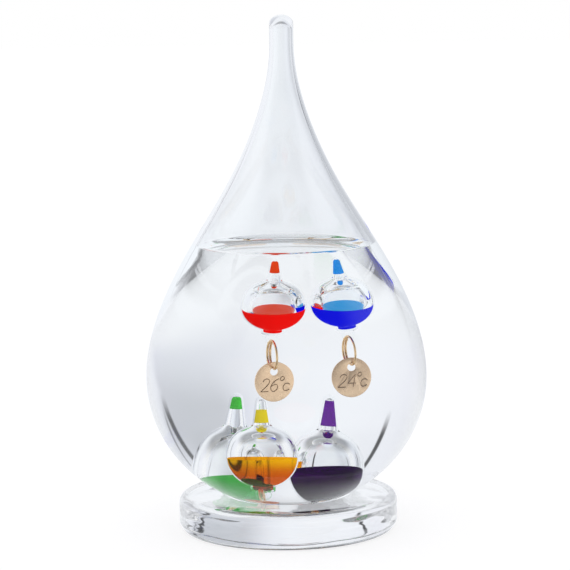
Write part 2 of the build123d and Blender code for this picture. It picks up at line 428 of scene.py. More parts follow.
# %% [markdown]
# ## The glass drop
# The real drop is blown: a round belly drawn out into a long neck, whose tip is
# melted shut. Its outline is a quarter ellipse for the bowl, a smooth flank, a
# short straight tip and a small dome. The inside wall is the same outline moved
# inward. The inside is split at the height where the liquid meets the glass.

# %% Drop outline
TOTAL_HEIGHT = cad_box[1].z / MM
BELLY_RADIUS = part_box("drop_vessel")[1].x / MM
BELLY_HEIGHT = 66.4
VESSEL_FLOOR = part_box("drop_vessel")[0].z / MM
VESSEL_WALL = 2.4
TIP_RADIUS = 5.1
TIP_WALL = 1.3
TIP_LENGTH = 7.0
TIP_DOME = 3.6
TIP_CLOSURE = 2.6
FLANK = [(0.862, 0.227), (0.614, 0.407), (0.3315, 0.586), (0.12, 0.764), (0.018, 0.911)]
GLUE_RADIUS = 21.0
SEAT_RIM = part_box("glass_base")[1].z / MM


def drop_outline(wall, tip_wall, closure):
    """Outline of the drop from its underside to the top of its tip."""
    tube_top = TOTAL_HEIGHT - TIP_DOME
    swell = BELLY_RADIUS - TIP_RADIUS
    climb = tube_top - TIP_LENGTH - BELLY_HEIGHT
    run = [(BELLY_RADIUS, BELLY_HEIGHT)]
    run += [(TIP_RADIUS + r * swell, BELLY_HEIGHT + z * climb) for r, z in FLANK]
    run += [(TIP_RADIUS, BELLY_HEIGHT + climb)]
    run = move_inward(run, wall, tip_wall)
    wide, tube = run[0][0], run[-1][0]
    bowl = ellipse(BELLY_HEIGHT, wide, BELLY_HEIGHT - VESSEL_FLOOR - wall, -90, 0, 36)
    side = smooth_through(run, (0, 1), (0, 1), 9)
    dome_base = tube_top - closure
    top = TOTAL_HEIGHT - closure
    dome = ellipse(dome_base, tube, top - dome_base, 0, 90, 10)
    return bowl[:-1] + side + dome


def radius_at(outline, height):
    """Radius of the outline above its widest ring, at a height."""
    for (r0, z0), (r1, z1) in zip(outline, outline[1:]):
        if z0 <= height <= z1 and z0 >= BELLY_HEIGHT:
            return r0 + (r1 - r0) * (height - z0) / (z1 - z0)


outside = drop_outline(0, 0, 0)
inside = drop_outline(VESSEL_WALL, TIP_WALL, TIP_CLOSURE)

# %% [markdown]
# ## The liquid and its meniscus
# A liquid climbs the glass a little, and that curved rim is what draws the bright
# and dark lines round its surface. The surface is flat in the middle and turns up
# along part of an ellipse, up to where it meets the wall.

# %% Liquid outline
LIQUID_SHARE = 0.354
LIQUID_LEVEL = BELLY_HEIGHT + LIQUID_SHARE * (TOTAL_HEIGHT - BELLY_HEIGHT)
MENISCUS = 3.4

flat_radius = radius_at(inside, LIQUID_LEVEL) - 2 * MENISCUS
climb = []
for step in range(60):
    turn = radians(-90 + step)
    point = (
        flat_radius + 2.2 * MENISCUS * cos(turn),
        LIQUID_LEVEL + 2 * MENISCUS * (1 + sin(turn)),
    )
    if point[0] >= radius_at(inside, point[1]):
        break
    climb.append(point)
contact_height = climb[-1][1]
contact = (radius_at(inside, contact_height), contact_height)
climb[-1] = contact
wet = [p for p in inside if p[1] < contact_height] + [contact]
dry = [contact] + [p for p in inside if p[1] > contact_height]
print("the liquid meets the glass at", round(contact_height, 2), "mm up")
print("where the inside wall has a radius of", round(contact[0], 2), "mm")

# %% Build the drop
# The numbers that spin_stretch is given are places in the piece's material list.
bonded = [p for p in outside if p[1] < SEAT_RIM]
free = outside[len(bonded) - 1 :]
drop = bmesh.new()
spin_stretch(drop, bonded, 2)
spin_stretch(drop, free, 0)
close_shell(drop)
cavity = bmesh.new()
spin_stretch(cavity, wet, 3)
spin_stretch(cavity, dry, 1)
close_shell(cavity, void=True)
add_mesh(drop, cavity)
finish_piece(
    drop, "blown_drop", "root", ["drop_vessel"],
    [VESSEL_OUTSIDE, VESSEL_INSIDE, BONDED, TOUCHING],
)

# %% Build the liquid
LIQUID_INSET = 0.04
liquid = bmesh.new()
side = [(max(r - LIQUID_INSET, 0), z + LIQUID_INSET) for r, z in wet[:-1]] + [contact]
side = [side[0]] + [p for p in side[1:-1] if p[1] < contact_height - LIQUID_INSET] + [contact]
spin_stretch(liquid, side, 1)
spin_stretch(liquid, [(0, LIQUID_LEVEL), (flat_radius / 2, LIQUID_LEVEL)] + climb, 0)
close_shell(liquid)
finish_piece(
    liquid, "clear_filling", "root", ["clear_liquid"], [LIQUID_TOP, TOUCHING]
)

# %% [markdown]
# ## The base disc
# The base is a thick cast disc with rounded edges and a dish that the drop sits
# in. A clear film bonds the two. What is seen through the front of the disc is
# mostly a mirror image in its underside, so the bond must let light through or the
# dish would look silver. The film is modelled in the middle of the dish, and the
# dish passes light as if the bond were squeezed out to its rim.

# %% Base outline
BASE_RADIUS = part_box("glass_base")[1].x / MM
BASE_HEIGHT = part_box("glass_base")[1].z / MM
TOP_ROUND = 3.4
FOOT_ROUND = 5.0
GLUE_THICKNESS = 0.5


def bowl_height(r, grow):
    """Height of the drop's underside, grown by a thickness, at a radius."""
    share = r / (BELLY_RADIUS + grow)
    return BELLY_HEIGHT - (BELLY_HEIGHT - VESSEL_FLOOR + grow) * sqrt(1 - share**2)


rim = BELLY_RADIUS + GLUE_THICKNESS
deep = BELLY_HEIGHT - VESSEL_FLOOR + GLUE_THICKNESS
dish_radius = rim * sqrt(1 - ((BELLY_HEIGHT - BASE_HEIGHT) / deep) ** 2)
bond_radii = [GLUE_RADIUS * i / 10 for i in range(11)]
dish = [(r, bowl_height(r, GLUE_THICKNESS)) for r in bond_radii]
ledge = [
    (r, bowl_height(r, GLUE_THICKNESS))
    for r in np.linspace(GLUE_RADIUS, dish_radius, 7)
]


def rounded_corner(r, z, size, start):
    """A quarter circle about (r, z), from a start angle, clockwise."""
    turn = [radians(start - 90 * i / 10) for i in range(11)]
    return [(r + size * cos(a), z + size * sin(a)) for a in turn]


shoulder = rounded_corner(BASE_RADIUS - TOP_ROUND, BASE_HEIGHT - TOP_ROUND, TOP_ROUND, 90)
foot = rounded_corner(BASE_RADIUS - FOOT_ROUND, FOOT_ROUND, FOOT_ROUND, 0)
disc = bmesh.new()
spin_stretch(disc, dish + ledge[1:], 1)
spin_stretch(disc, ledge[-1:] + shoulder + foot + [(0, 0)], 0)
close_shell(disc)
finish_piece(disc, "base_disc", "root", ["glass_base"], [BASE_GLASS, BONDED])

# %% Build the bond
GLUE_GAP = 0.1
film = bmesh.new()
under = [(r, bowl_height(r, GLUE_THICKNESS - GLUE_GAP)) for r in bond_radii]
over = [(r, bowl_height(r, GLUE_GAP)) for r in reversed(bond_radii)]
spin_stretch(film, under + over, 0)
close_shell(film)
finish_piece(film, "clear_bond", "root", ["glue_film"], [BONDED])

# %% [markdown]
# ## The floats
# Each float is a small blown bulb with a drawn neck, half filled with dyed
# liquid. A plug of the same colour closes the neck, and a glass eye under the
# foot carries a jump ring. Light in the clear liquid hardly notices the outside
# of the bulb, but turns sharply at the air inside it, so the inner shell is what
# makes the silvery rims. Below the dye's surface that shell is wetted too.

# %% Float sizes and colours
BULB_RADIUS = 10.6
BULB_DEPTH = 9.5
FOOT_RADIUS = 3.8
FOOT_HEIGHT = 1.2
BULB_WALL = 0.7
NECK_RADIUS = 2.7
NECK_TIP = 1.8
NECK_WALL = 0.5
NECK_CLOSURE = 0.9
SHOULDER = [(0.80, 0.56), (0.54, 0.77), (0.17, 0.905)]
EYE_RADIUS = 2.0
EYE_WIRE = 0.5
EYE_SINK = 0.36
BAR_DROP = 2 * EYE_RADIUS - EYE_SINK

BULB_STEPS = 96
PLUG_STEPS = 48
DYE_GAP = 0.02

# The tilt is in degrees. Then come lengths in bulb radii, as in the CAD model, that
# become millimetres below: the widest ring's radius, how high the shoulder and the
# neck go, the dye's level, and the plug's length and how far it is pushed in. Fade
# is the share of the dye's depth over which its colour changes.
# Each top colour is for the dye's flat surface. It is lighter than the dye below: partly the dye's
# own colour, partly painted light from above.
FLOATS = {
    "red": dict(
        tilt=2, girth=1.08, crown=1.06, neck=0.85, fill=-0.08, plug=0.46, stub=0.01,
        numeral="26", fade=0.02, shallow=(0.98, 0.012, 0.006), dye=(0.96, 0.005, 0.003),
        top=(1.0, 0.085, 0.03), plug_colour=(1.0, 0.075, 0.015),
    ),
    "blue": dict(
        tilt=-5, girth=1.11, crown=1.06, neck=0.80, fill=-0.06, plug=0.57, stub=0.01,
        numeral="24", fade=0.02, shallow=(0.0, 0.008, 0.82), dye=(0.0, 0.002, 0.75),
        top=(0.02, 0.52, 1.0), plug_colour=(0.0, 0.32, 0.95),
    ),
    "yellow": dict(
        tilt=0, girth=1.03, crown=0.89, neck=0.73, fill=-0.03, plug=0.35, stub=0.27,
        numeral="22", fade=0.40, shallow=(1.0, 0.50, 0.0), dye=(0.66, 0.10, 0.0),
        top=(1.0, 0.58, 0.02), plug_colour=(1.0, 0.78, 0.0),
    ),
    "green": dict(
        tilt=3, girth=0.92, crown=1.0, neck=0.68, fill=-0.17, plug=0.26, stub=0.02,
        numeral="20", fade=0.40, shallow=(0.20, 0.70, 0.20), dye=(0.015, 0.36, 0.05),
        top=(0.22, 0.72, 0.22), plug_colour=(0.10, 0.72, 0.08),
    ),
    "purple": dict(
        tilt=5, girth=0.97, crown=0.96, neck=0.79, fill=0.0, plug=0.60, stub=0.06,
        numeral="18", fade=0.35, shallow=(0.05, 0.004, 0.10), dye=(0.008, 0.001, 0.010),
        top=(0.075, 0.008, 0.15), plug_colour=(0.15, 0.010, 0.34),
    ),
}
for spec in FLOATS.values():
    for length in ("girth", "crown", "neck", "fill", "plug", "stub"):
        spec[length] *= BULB_RADIUS
print("floats:", {colour: spec["numeral"] for colour, spec in FLOATS.items()})


# %% Float materials
def dye_material(name, low, high, deep_colour, top_colour, index=1.0, clear=1.0, glow=0.0):
    """A dyed liquid: it tints what is seen through it, more so lower down."""
    material, tree, shader = new_material(
        name, {"Roughness": 0.0, "IOR": index, "Transmission Weight": clear}
    )
    fade = place_group(
        tree, DEPTH_FADE,
        {"Low": low, "High": high, "Deep": (*deep_colour, 1), "Shallow": (*top_colour, 1)},
    )
    feed(tree, fade.outputs["Color"], shader.inputs["Base Color"])
    if glow:
        feed(tree, fade.outputs["Color"], shader.inputs["Emission Color"])
        shader.inputs["Emission Strength"].default_value = glow
    return material


def plug_material(name, colour):
    """A waxy coloured plug that lets some light through."""
    material, tree, shader = new_material(
        name, {"Roughness": 0.1, "IOR": 1.02, "Transmission Weight": 0.9}
    )
    thick = [channel * 0.9 for channel in colour]
    drift = place_group(
        tree, BLOWN_DRIFT, {"Scale": 700, "Thin": (*colour, 1), "Thick": (*thick, 1)}
    )
    feed(tree, drift.outputs["Color"], shader.inputs["Base Color"])
    return material


# %% Bulb outline
def bulb_outline(spec, inset, neck_inset, closure):
    """Outline of a bulb: its foot and bowl, shoulder, and tapered neck."""
    swell = spec["girth"] - NECK_RADIUS
    run = [(spec["girth"], 0)]
    run += [(NECK_RADIUS + r * swell, z * spec["crown"]) for r, z in SHOULDER]
    run += [(NECK_RADIUS, spec["crown"])]
    run = move_inward(run, inset, neck_inset)
    wide, tip = run[0][0], NECK_TIP - neck_inset
    deep, foot = BULB_DEPTH - inset, FOOT_RADIUS - inset
    sole = -BULB_DEPTH - FOOT_HEIGHT + inset
    turn = -degrees(asin(sqrt(1 - (foot / wide) ** 2)))
    bowl = ellipse(0, wide, deep, turn, 0, 16)
    side = smooth_through(run, (0, 1), (0, 1), 7)
    top = spec["crown"] + spec["neck"] - closure
    dome = ellipse(top - tip, tip, tip, 0, 90, 7)
    underside = [(0, sole), (foot * 0.92, sole), (foot, sole + 0.12)]
    return underside + bowl[:-1] + side + dome


def neck_edge(outline, height):
    """The outline with a point added on the neck at a height."""
    below = [p for p in outline if p[1] < height]
    above = [p for p in outline if p[1] > height]
    (r0, z0), (r1, z1) = below[-1], above[0]
    radius = r0 + (r1 - r0) * (height - z0) / (z1 - z0)
    return below + [(radius, height)] + above


def torus(bm, matrix, ring, wire, around=48, across=16):
    """Spin a small circle into a closed ring about the local Z axis."""
    made = bmesh.ops.create_circle(
        bm, segments=across, radius=wire * MM,
        matrix=Matrix.Translation((ring * MM, 0, 0)) @ Matrix.Rotation(pi / 2, 4, "X"),
    )
    circle = made["verts"]
    edges = {edge for vert in circle for edge in vert.link_edges}
    bmesh.ops.spin(
        bm, geom=list(circle) + list(edges), cent=(0, 0, 0), axis=(0, 0, 1),
        angle=2 * pi, steps=around, use_merge=True,
    )
    bmesh.ops.remove_doubles(bm, verts=bm.verts, dist=WELD)
    bmesh.ops.recalc_face_normals(bm, faces=bm.faces)
    bmesh.ops.transform(bm, matrix=matrix, verts=bm.verts)


# %% Places in a float
def float_places(colour, spec):
    """Frames of the eye's bar and the bulb's widest ring, and the dye's level."""
    bar = Vector(joints[f"{colour}_ring_swing"]["pos_m"])
    stand = Matrix.Translation(bar) @ Matrix.Rotation(radians(spec["tilt"]), 4, "Y")
    lift = Matrix.Translation((0, 0, (BAR_DROP + FOOT_HEIGHT + BULB_DEPTH) * MM))
    middle = stand @ lift
    return stand, middle, middle.translation.z + spec["fill"] * MM


def plug_ends(spec):
    """Heights of the plug's lower and upper end above the widest ring."""
    top = spec["crown"] + spec["neck"] - NECK_CLOSURE - spec["stub"]
    return top - spec["plug"], top


def slice_level(bm, level, drop_above):
    """Cut a mesh at the dye's level, and leave out what is above it if asked."""
    everything = list(bm.verts) + list(bm.edges) + list(bm.faces)
    bmesh.ops.bisect_plane(
        bm, geom=everything, dist=HAIR, plane_co=(0, 0, level), plane_no=(0, 0, 1),
        clear_outer=drop_above,
    )


# %% [markdown]
# ## Glass, dye and plug of a float
# The glass is an outer shell, an inner shell and a small ring for the eye. The dye
# is the inner outline again, a hair smaller, cut off level even where the float
# leans. Its flat top is a surface between dye and air, and its sides only tint. The
# top also gives off a little light: this stands in for light from above that is
# lost on its way through so many shells.

# %% Build the glass
def build_glass(colour, spec):
    """The bulb with its neck, its hollow and the eye under its foot."""
    stand, middle, level = float_places(colour, spec)
    plug_bottom, plug_top = plug_ends(spec)
    glass = bmesh.new()
    spin_stretch(glass, bulb_outline(spec, 0, 0, 0), 0, BULB_STEPS)
    close_shell(glass)
    bmesh.ops.transform(glass, matrix=middle, verts=glass.verts)
    hollow = bmesh.new()
    inner = bulb_outline(spec, BULB_WALL, NECK_WALL, NECK_CLOSURE)
    inner = neck_edge(neck_edge(inner, plug_bottom), plug_top)
    spin_stretch(hollow, inner, 1, BULB_STEPS)
    close_shell(hollow, void=True)
    for face in hollow.faces:
        if plug_bottom < face.calc_center_median().z / MM < plug_top:
            face.material_index = 2
    bmesh.ops.transform(hollow, matrix=middle, verts=hollow.verts)
    slice_level(hollow, level, False)
    for face in hollow.faces:
        if face.calc_center_median().z < level:
            face.material_index = 2
    add_mesh(glass, hollow)
    axis = joints[f"{colour}_ring_swing"]["axis"]
    eye = bmesh.new()
    turned = (
        stand
        @ Matrix.Rotation(atan2(axis[1], axis[0]), 4, "Z")
        @ Matrix.Translation((0, 0, EYE_RADIUS * MM))
        @ Matrix.Rotation(pi / 2, 4, "X")
    )
    torus(eye, turned, EYE_RADIUS, EYE_WIRE)
    add_mesh(glass, eye)
    finish_piece(
        glass, f"{colour}_glass", f"{colour}_float", [f"{colour}_bulb"],
        [FLOAT_OUTSIDE, FLOAT_INSIDE, TOUCHING],
    )


# %% Build the dye and the plug
TOP_INDEX = 1.03
TOP_CLEARNESS = 0.15
TOP_GLOW = 0.27
TOP_FADE = 1 * MM


def build_dye(colour, spec):
    """The dyed liquid, level at the top."""
    _, middle, level = float_places(colour, spec)
    outline = bulb_outline(spec, BULB_WALL + DYE_GAP, NECK_WALL + DYE_GAP, NECK_CLOSURE)
    dye = bmesh.new()
    spin_stretch(dye, outline, 1, BULB_STEPS)
    close_shell(dye)
    bmesh.ops.transform(dye, matrix=middle, verts=dye.verts)
    slice_level(dye, level, True)
    sides = set(dye.faces)
    bmesh.ops.contextual_create(dye, geom=[edge for edge in dye.edges if edge.is_boundary])
    for face in dye.faces:
        if face not in sides:
            face.material_index = 0
    bmesh.ops.recalc_face_normals(dye, faces=dye.faces)
    span = level - min(v.co.z for v in dye.verts)
    tinted = dye_material(
        f"{colour} dye", level - spec["fade"] * span, level + TOP_FADE, spec["dye"],
        spec["shallow"],
    )
    # The surface's lighter top colour and its glow are painted light from above.
    surface = dye_material(
        f"{colour} dye surface", level - TOP_FADE, level + TOP_FADE, spec["top"], spec["top"],
        TOP_INDEX, TOP_CLEARNESS, TOP_GLOW,
    )
    finish_piece(
        dye, f"{colour}_liquid", f"{colour}_float", [f"{colour}_fill"],
        [surface, tinted],
    )


def build_plug(colour, spec):
    """The plug that closes the neck."""
    _, middle, _ = float_places(colour, spec)
    plug_bottom, plug_top = plug_ends(spec)
    whole = bulb_outline(spec, BULB_WALL + DYE_GAP, NECK_WALL + DYE_GAP, NECK_CLOSURE)
    whole = neck_edge(neck_edge(whole, plug_bottom), plug_top)
    part = [p for p in whole if plug_bottom <= p[1] <= plug_top]
    plug = bmesh.new()
    spin_stretch(plug, [(0, plug_bottom)] + part + [(0, plug_top)], 0, PLUG_STEPS)
    close_shell(plug)
    bmesh.ops.transform(plug, matrix=middle, verts=plug.verts)
    finish_piece(
        plug, f"{colour}_neck_plug", f"{colour}_float", [f"{colour}_plug"],
        [plug_material(f"{colour} plug", spec["plug_colour"])],
    )


for colour, spec in FLOATS.items():
    build_glass(colour, spec)
    build_dye(colour, spec)
    build_plug(colour, spec)

# %% [markdown]
# ## Jump rings and tags
# A jump ring is a little over one turn of wire: its ends overlap, so it can be
# wound through the eye and the tag. Spinning the wire's round section with a small
# step along the axis gives exactly that. The tag is a stamped disc, and its
# numerals are cut with a round-nosed tool, so they are grooves and not paint.

# %% Metal finish
FINEST_POLISH, DULLEST_POLISH = 0.18, 0.42
GRAIN_HEIGHT = 0.05 * MM


def worn_metal():
    """Roughness and a fine grain for drawn or rolled metal."""
    group, given, result = new_group(
        "worn metal",
        [
            ("Scale", "NodeSocketFloat", 900.0),
            ("Grain", "NodeSocketFloat", 0.1),
            ("Bright", "NodeSocketColor", (0.8, 0.6, 0.4, 1)),
            ("Dull", "NodeSocketColor", (0.6, 0.4, 0.25, 1)),
        ],
        [
            ("Color", "NodeSocketColor"),
            ("Roughness", "NodeSocketFloat"),
            ("Normal", "NodeSocketVector"),
        ],
    )
    place = group.nodes.new("ShaderNodeTexCoord").outputs["Object"]
    fine = noise_value(group, place, given["Scale"], 3.0)
    broad = noise_value(group, place, 140.0, 2.0)
    rough = group.nodes.new("ShaderNodeMapRange")
    rough.inputs["To Min"].default_value = FINEST_POLISH
    rough.inputs["To Max"].default_value = DULLEST_POLISH
    feed(group, fine, rough.inputs["Value"])
    feed(group, mix_colours(group, broad, given["Bright"], given["Dull"]), result["Color"])
    feed(group, rough.outputs["Result"], result["Roughness"])
    feed(group, bump_normal(group, given["Grain"], GRAIN_HEIGHT, fine), result["Normal"])
    return group


WORN_METAL = worn_metal()


def metal_material(name, bright, dull, grain):
    """Brass-coloured metal."""
    material, tree, shader = new_material(name, {"Metallic": 1.0})
    worn = place_group(
        tree, WORN_METAL, {"Grain": grain, "Bright": (*bright, 1), "Dull": (*dull, 1)}
    )
    feed(tree, worn.outputs["Color"], shader.inputs["Base Color"])
    feed(tree, worn.outputs["Roughness"], shader.inputs["Roughness"])
    feed(tree, worn.outputs["Normal"], shader.inputs["Normal"])
    return material


RING_BRASS = metal_material("ring brass", (0.95, 0.70, 0.40), (0.80, 0.56, 0.31), 0.1)
TAG_BRASS = metal_material("tag brass", (0.98, 0.73, 0.49), (0.90, 0.65, 0.43), 0.25)
GROOVE_BRASS = metal_material("engraved brass", (0.56, 0.38, 0.24), (0.44, 0.29, 0.18), 0.4)
print("metals:", RING_BRASS.name, "/", TAG_BRASS.name, "/", GROOVE_BRASS.name)

# %% Ring and tag sizes
RING_WIRE = 0.4
RING_RADIUS = 5.2
RING_PITCH = 0.95
RING_START = 210.0
RING_END = 680.0
RING_FOOT = 540.0
RING_STEPS = 110
LINK_GAP = 0.12
TAG_RADIUS = 6.85
TAG_THICKNESS = 0.6
TAG_HOLE = 1.4
TAG_RIM = 2.0
TAG_EDGE = 0.07
RING_DROP = RING_RADIUS - RING_WIRE - EYE_WIRE - LINK_GAP
WIRE_DROP = RING_DROP + RING_RADIUS
HOLE_DROP = WIRE_DROP - RING_WIRE - LINK_GAP + TAG_HOLE
TAG_DROP = HOLE_DROP - TAG_HOLE - TAG_RIM + TAG_RADIUS
TWIST = {"red": 4, "blue": -17, "yellow": 0, "green": 0, "purple": 0}
print("each tag hangs", round(TAG_DROP, 2), "mm below the bar of its eye")


def strand_offset(angle):
    """How far along the eye's bar the wire lies, at an angle from the ring's top."""
    return RING_PITCH * (angle - 360) / 360


def chain_place(colour):
    """Frame of ring and tag: the eye's bar, its heading, and the lean of the tag."""
    bar = Vector(joints[f"{colour}_ring_swing"]["pos_m"])
    along = Vector(joints[f"{colour}_ring_swing"]["axis"])
    across = Vector(joints[f"{colour}_tag_swing"]["axis"])
    turned = Matrix((along, across, along.cross(across))).transposed().to_4x4()
    return Matrix.Translation(bar) @ turned


# %% [markdown]
# ## Engraved numerals
# The temperature is cut into both faces of a tag. Each sign is a few strokes, and a
# curve with a round section along them makes the cutter. An exact boolean takes it
# out of the stamped disc, so the grooves are real and get a darker metal.

# %% Numerals
# Each sign is a few strokes in a box one unit high, as (x, y) points.
STROKES = {
    "0": [[(0.30, 1.0), (0.05, 0.85), (0.0, 0.5), (0.05, 0.15), (0.30, 0.0), (0.55, 0.15),
           (0.60, 0.5), (0.55, 0.85), (0.30, 1.0)]],
    "1": [[(0.12, 0.80), (0.34, 1.0), (0.34, 0.5), (0.34, 0.0)], [(0.14, 0.0), (0.54, 0.0)]],
    "2": [[(0.03, 0.78), (0.08, 0.96), (0.34, 1.03), (0.60, 0.86), (0.52, 0.56), (0.22, 0.26),
           (0.0, 0.02)], [(0.0, 0.02), (0.62, 0.02)]],
    "4": [[(0.46, 0.0), (0.46, 1.0)], [(0.46, 1.0), (0.0, 0.30)], [(0.0, 0.30), (0.62, 0.30)]],
    "6": [[(0.56, 0.97), (0.26, 0.86), (0.02, 0.50), (0.02, 0.16), (0.30, -0.04), (0.58, 0.14),
           (0.56, 0.48), (0.30, 0.58), (0.06, 0.40)]],
    "8": [[(0.30, 0.54), (0.06, 0.66), (0.08, 0.94), (0.30, 1.02), (0.52, 0.94), (0.54, 0.66),
           (0.30, 0.54), (0.02, 0.40), (0.02, 0.08), (0.30, -0.03), (0.58, 0.08), (0.58, 0.40),
           (0.30, 0.54)]],
    "o": [[(0.5, 1.0), (0.15, 0.85), (0.0, 0.5), (0.15, 0.15), (0.5, 0.0), (0.85, 0.15),
           (1.0, 0.5), (0.85, 0.85), (0.5, 1.0)]],
    "C": [[(0.88, 0.78), (0.70, 0.98), (0.22, 0.98), (0.0, 0.70), (0.0, 0.30), (0.22, 0.0),
           (0.70, 0.0), (0.90, 0.20)]],
}
GROOVE_RADIUS = 0.15
SLANT = 0.22
# Left and lower edge of each sign from the tag's middle, and its height. The first
# two are the numeral's, and then come the degree ring and the C.
LAYOUT = [(-4.9, -3.4, 4.4), (-1.7, -3.4, 4.4), (1.9, 0.1, 1.5), (2.8, -3.3, 2.5)]


def groove_cutter(numeral):
    """A mesh of round strokes that cuts the numeral, a degree ring and a C."""
    curve = bpy.data.curves.new("strokes", "CURVE")
    curve.dimensions = "3D"
    curve.bevel_depth = GROOVE_RADIUS * MM
    curve.bevel_resolution = 2
    curve.use_fill_caps = True
    for glyph, (x, y, size) in zip(numeral + "oC", LAYOUT):
        for stroke in STROKES[glyph]:
            spline = curve.splines.new("NURBS")
            spline.points.add(len(stroke) - 1)
            for point, (u, v) in zip(spline.points, stroke):
                across = x + size * (u + SLANT * v)
                point.co = (across * MM, 0, (y + size * v) * MM, 1)
            spline.order_u = 3
            spline.use_endpoint_u = True
            spline.resolution_u = 4
    carrier = bpy.data.objects.new("strokes", curve)
    bpy.context.scene.collection.objects.link(carrier)
    depsgraph = bpy.context.evaluated_depsgraph_get()
    mesh = bpy.data.meshes.new_from_object(carrier.evaluated_get(depsgraph))
    bpy.data.objects.remove(carrier)
    bm = bmesh.new()
    bm.from_mesh(mesh)
    bpy.data.meshes.remove(mesh)
    bmesh.ops.remove_doubles(bm, verts=bm.verts, dist=FINE_WELD)
    bmesh.ops.recalc_face_normals(bm, faces=bm.faces)
    return bm


def tag_blank():
    """A disc with a hole near its edge, about the hole's wire."""
    bm = bmesh.new()
    flat = Matrix.Rotation(pi / 2, 4, "X")
    for radius, drop in ((TAG_RADIUS, TAG_DROP), (TAG_HOLE, HOLE_DROP)):
        centre = Matrix.Translation((0, -TAG_THICKNESS / 2 * MM, (WIRE_DROP - drop) * MM))
        bmesh.ops.create_circle(bm, segments=96, radius=radius * MM, matrix=centre @ flat)
    bmesh.ops.bridge_loops(bm, edges=bm.edges)
    sheet = bmesh.ops.extrude_face_region(bm, geom=bm.faces)
    moved = [v for v in sheet["geom"] if isinstance(v, bmesh.types.BMVert)]
    bmesh.ops.translate(bm, vec=(0, TAG_THICKNESS * MM, 0), verts=moved)
    bmesh.ops.recalc_face_normals(bm, faces=bm.faces)
    rims = [edge for edge in bm.edges if edge.calc_face_angle(0) > radians(60)]
    bmesh.ops.bevel(
        bm, geom=rims, offset=TAG_EDGE * MM, offset_type="OFFSET", affect="EDGES",
        segments=2, profile=0.5, material=-1, clamp_overlap=True,
    )
    return bm


def cut_with(piece_mesh, cutter_mesh):
    """The first mesh with the second cut out of it."""
    blank = bpy.data.objects.new("blank", piece_mesh)
    tool = bpy.data.objects.new("tool", cutter_mesh)
    for item in (blank, tool):
        bpy.context.scene.collection.objects.link(item)
    cut = blank.modifiers.new("cut", "BOOLEAN")
    cut.operation = "DIFFERENCE"
    cut.solver = "EXACT"
    cut.use_self = True
    cut.object = tool
    depsgraph = bpy.context.evaluated_depsgraph_get()
    made = bpy.data.meshes.new_from_object(blank.evaluated_get(depsgraph))
    for item in (blank, tool):
        bpy.data.objects.remove(item)
    return made


# %% Build rings and tags
def build_ring(colour):
    """Spin the wire's section with a step along the axis."""
    bm = bmesh.new()
    start = (
        Matrix.Translation((strand_offset(RING_START) * MM, 0, -RING_DROP * MM))
        @ Matrix.Rotation(radians(RING_START), 4, "X")
        @ Matrix.Translation((0, 0, RING_RADIUS * MM))
        @ Matrix.Rotation(pi / 2, 4, "X")
    )
    made = bmesh.ops.create_circle(bm, segments=14, radius=RING_WIRE * MM, matrix=start)
    edges = list({edge for vert in made["verts"] for edge in vert.link_edges})
    first = bmesh.ops.contextual_create(bm, geom=edges)["faces"]
    advance = (strand_offset(RING_END) - strand_offset(RING_START)) / RING_STEPS
    bmesh.ops.spin(
        bm, geom=first + edges + made["verts"], cent=(0, 0, -RING_DROP * MM), axis=(1, 0, 0),
        dvec=(advance * MM, 0, 0), angle=radians(RING_END - RING_START), steps=RING_STEPS,
    )
    bmesh.ops.remove_doubles(bm, verts=bm.verts, dist=FINE_WELD)
    bmesh.ops.recalc_face_normals(bm, faces=bm.faces)
    bmesh.ops.transform(bm, matrix=chain_place(colour), verts=bm.verts)
    finish_piece(
        bm, f"{colour}_jump_ring", f"{colour}_ring", [f"{colour}_ring"], [RING_BRASS]
    )


def build_tag(colour, numeral):
    """Stamp a disc, engrave both faces, and hang it in its ring."""
    blank = bpy.data.meshes.new("blank")
    tag_blank().to_mesh(blank)
    both = bmesh.new()
    centre = (WIRE_DROP - TAG_DROP) * MM
    to_face = Matrix.Translation((0, -TAG_THICKNESS / 2 * MM, centre))
    for side in (0, pi):
        strokes = groove_cutter(numeral)
        face = Matrix.Rotation(side, 4, "Z") @ to_face
        bmesh.ops.transform(strokes, matrix=face, verts=strokes.verts)
        add_mesh(both, strokes)
    cutter = bpy.data.meshes.new("cutter")
    both.to_mesh(cutter)
    both.free()
    engraved = cut_with(blank, cutter)
    bm = bmesh.new()
    bm.from_mesh(engraved)
    skin = (TAG_THICKNESS / 2 - 0.012) * MM
    middle = Vector((0, 0, centre))
    hole_centre = (WIRE_DROP - HOLE_DROP) * MM
    for face in bm.faces:
        spot = face.calc_center_median()
        inside_rim = (spot - middle).length < (TAG_RADIUS - 0.25) * MM
        at_hole = hypot(spot.x, spot.z - hole_centre) < (TAG_HOLE + 0.2) * MM
        face.material_index = 1 if inside_rim and abs(spot.y) < skin and not at_hole else 0
    hang = (
        chain_place(colour)
        @ Matrix.Translation((strand_offset(RING_FOOT) * MM, 0, -WIRE_DROP * MM))
        @ Matrix.Rotation(radians(TWIST[colour]), 4, "Z")
    )
    bmesh.ops.transform(bm, matrix=hang, verts=bm.verts)
    finish_piece(
        bm, f"{colour}_round_tag", f"{colour}_tag", [f"{colour}_tag"],
        [TAG_BRASS, GROOVE_BRASS],
    )


for colour, spec in FLOATS.items():
    build_ring(colour)
    build_tag(colour, spec["numeral"])

# %% [markdown]
# ## Floor and light
# Clear glass shows nothing of its own: it shows its surroundings, bent. A plain
# white world would make it vanish, so glass is set in front of a pale sweep, in a
# room that is darker behind the camera, with narrow black cards off to the sides
# that draw dark lines along its edges. That studio is a node group: it takes a
# direction and gives a tone, so the world and the floor can share it, and no
# horizon shows through the glass. Straight to the camera both are plain white.

